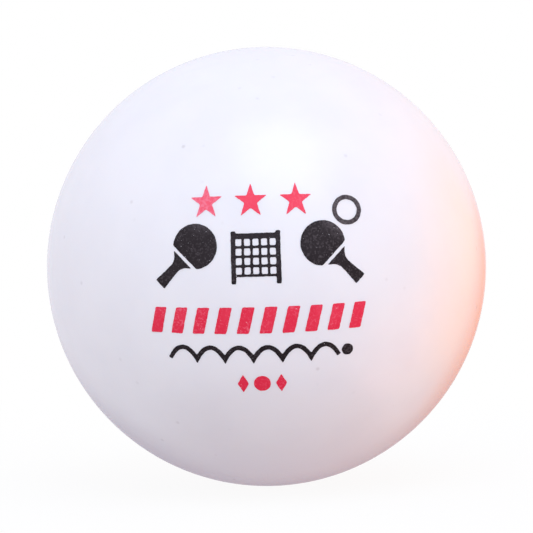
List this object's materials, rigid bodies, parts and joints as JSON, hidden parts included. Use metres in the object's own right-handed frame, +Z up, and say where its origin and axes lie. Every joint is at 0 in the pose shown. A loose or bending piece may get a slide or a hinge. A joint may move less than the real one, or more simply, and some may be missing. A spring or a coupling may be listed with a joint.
{
  "type": "table tennis ball",
  "caption": "Hollow white plastic table tennis ball made of bonded half shells, with a printed red and black stamp.",
  "frame": {"origin": "centre of the ball", "axes": "+Z up with the stamp upright; -Y out through the middle of the stamp; the seam lies in the plane Y = 0; +X to the right of someone who faces the stamp"},
  "size_m": [0.0402, 0.0402, 0.0402],
  "materials": {
    "shell_plastic": "satin-matte white ABS, faintly cloudy",
    "seam_adhesive": "cured bond line, flush and polished",
    "red_ink": "pad-printed ink, slightly mottled",
    "black_ink": "pad-printed ink, slightly mottled"
  },
  "bodies": {
    "root": {"front_half_shell": "shell_plastic", "back_half_shell": "shell_plastic", "seam_adhesive": "seam_adhesive", "ball_ring_mark": "black_ink", "band_mark_01": "red_ink", "band_mark_02": "red_ink", "band_mark_03": "red_ink", "band_mark_04": "red_ink", "band_mark_05": "red_ink", "band_mark_06": "red_ink", "band_mark_07": "red_ink", "band_mark_08": "red_ink", "band_mark_09": "red_ink", "band_mark_10": "red_ink", "bat_mark_left_handle": "black_ink", "bat_mark_left_rubber": "black_ink", "bat_mark_right_handle": "black_ink", "bat_mark_right_rubber": "black_ink", "bounce_mark_ball": "black_ink", "bounce_mark_path": "black_ink", "lower_mark_dot": "red_ink", "lower_mark_left": "red_ink", "lower_mark_right": "red_ink", "net_mark": "black_ink", "star_mark_centre": "red_ink", "star_mark_left": "red_ink", "star_mark_right": "red_ink"}
  },
  "joints": []
}
